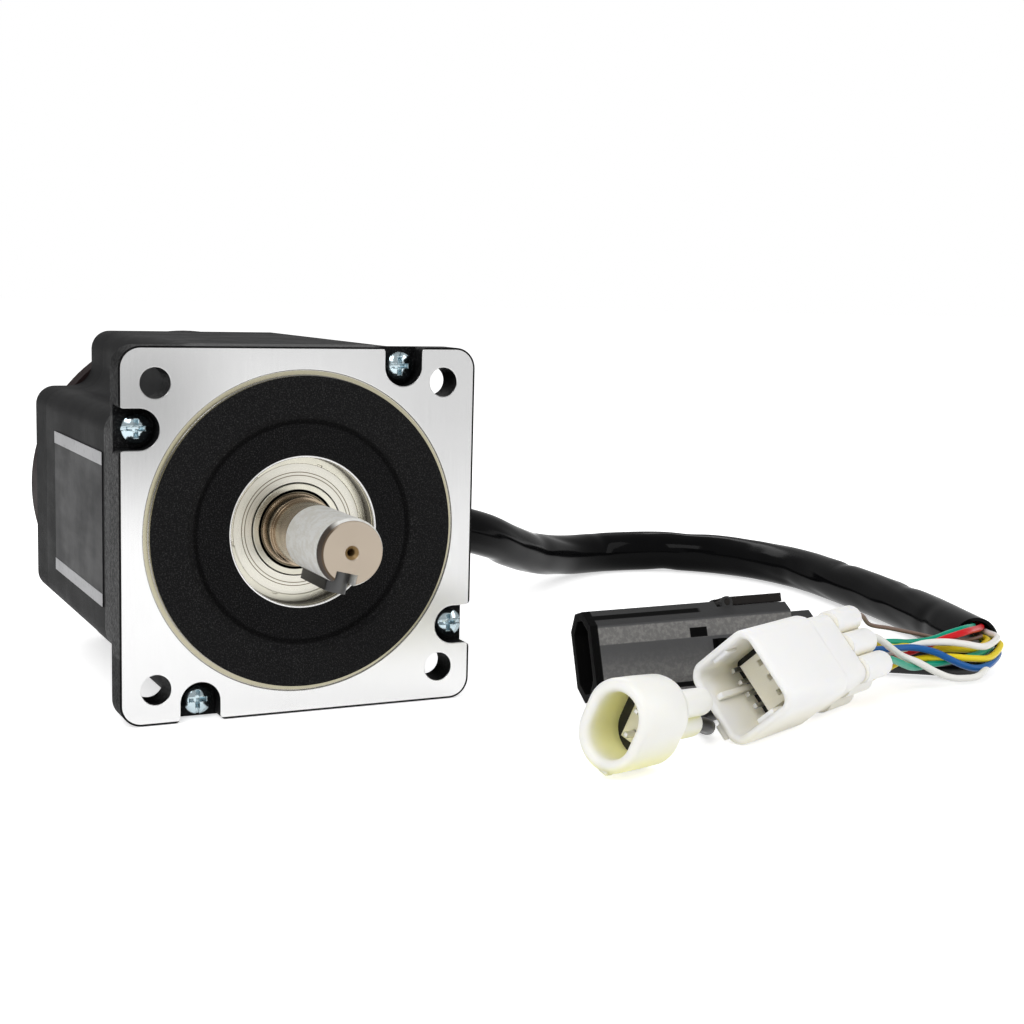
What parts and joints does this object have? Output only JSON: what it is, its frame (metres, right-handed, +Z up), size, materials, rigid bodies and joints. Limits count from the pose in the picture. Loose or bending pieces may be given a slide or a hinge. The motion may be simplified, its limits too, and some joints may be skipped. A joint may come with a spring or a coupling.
{
  "type": "brushless DC motor",
  "caption": "Square-flanged brushless DC motor with a keyed shaft, a cross-shaped black body and a sleeved cable that ends in white, natural and black plugs.",
  "frame": {"origin": "where the shaft axis meets the front face of the flange", "axes": "-Y along the shaft towards its tip, +Y into the motor, +Z up, +X towards the side with the cable outlet"},
  "size_m": [0.2633, 0.2406, 0.086],
  "materials": {
    "flange_metal": "face ground bright, black left in the recess, the grooves and the pockets",
    "black_paint": "fine cast texture, satin",
    "stack_paint": "fine grain, satin",
    "cover_paint": "satin",
    "steel": "turned and ground",
    "shaft_steel": "ground, bright",
    "zinc_steel": "zinc plated, bluish",
    "spring_steel": "dull",
    "ball_steel": "polished",
    "cage_brass": "pressed",
    "core_steel": "laminated",
    "magnet_black": "sintered, coated",
    "copper": "enamelled copper wire",
    "insulator": "moulded",
    "board": "solder mask",
    "chip": "moulded",
    "plate": "matt film",
    "plate_light": "matt film",
    "rubber": "soft",
    "sleeve": "glossy soft PVC",
    "wires": "a bundle of single wires in several colours",
    "lead": "black jacket",
    "white_plastic": "moulded nylon, white",
    "cream_plastic": "moulded nylon, cream",
    "natural_plastic": "moulded nylon, uncoloured",
    "black_plastic": "moulded, dull",
    "contact": "plated",
    "contact_tin": "tin plated"
  },
  "bodies": {
    "motor": {"front_cap": "flange_metal", "stator_stack": "stack_paint", "front_insulator": "insulator", "rear_insulator": "insulator", "phase_coils": "copper", "rear_cap": "black_paint", "rear_cover": "cover_paint", "cover_screws": "zinc_steel", "through_screws": "zinc_steel", "front_outer_ring": "steel", "front_shields": "steel", "rear_outer_ring": "steel", "rear_shields": "steel", "wave_washer": "spring_steel", "hall_board": "board", "hall_sensors": "chip", "board_screws": "zinc_steel", "name_plate": "plate", "plate_bars": "plate_light", "cable_grommet": "rubber", "cable_sleeve": "sleeve", "signal_wires": "wires", "sensor_lead": "lead", "power_lead": "lead", "signal_housing": "white_plastic", "signal_seal": "rubber", "signal_insert": "cream_plastic", "signal_pins": "contact", "sensor_housing": "natural_plastic", "sensor_seal": "rubber", "sensor_insert": "cream_plastic", "sensor_pins": "contact_tin", "power_housing": "black_plastic", "power_blades": "contact_tin", "power_rear_seal": "rubber"},
    "rotor": {"shaft": "shaft_steel", "shaft_key": "steel", "rotor_core": "core_steel", "rotor_magnets": "magnet_black", "sensor_magnet": "magnet_black", "front_inner_ring": "steel", "rear_inner_ring": "steel"},
    "front_ball_set": {"front_balls": "ball_steel", "front_cage": "cage_brass"},
    "rear_ball_set": {"rear_balls": "ball_steel", "rear_cage": "cage_brass"},
    "plug_latch": {"power_latch": "black_plastic"}
  },
  "joints": [
    {"name": "shaft_spin", "type": "hinge", "parent": "motor", "child": "rotor", "pos_m": [0, 0, 0], "axis": [0, -1, 0], "continuous": true},
    {"name": "front_balls_spin", "type": "hinge", "parent": "motor", "child": "front_ball_set", "pos_m": [0, 0.0095, 0], "axis": [0, -1, 0], "continuous": true},
    {"name": "rear_balls_spin", "type": "hinge", "parent": "motor", "child": "rear_ball_set", "pos_m": [0, 0.0885, 0], "axis": [0, -1, 0], "continuous": true},
    {"name": "latch_lift", "type": "hinge", "parent": "motor", "child": "plug_latch", "pos_m": [0.1056, -0.01629, -0.02057], "axis": [-0.1091, -0.9448, 0.3089], "range_deg": [0, 8], "stiffness_Nm_per_rad": 0.05}
  ],
  "couplings": [
    {"joint": "front_balls_spin", "follows": "shaft_spin", "ratio": 0.41},
    {"joint": "rear_balls_spin", "follows": "shaft_spin", "ratio": 0.4}
  ]
}
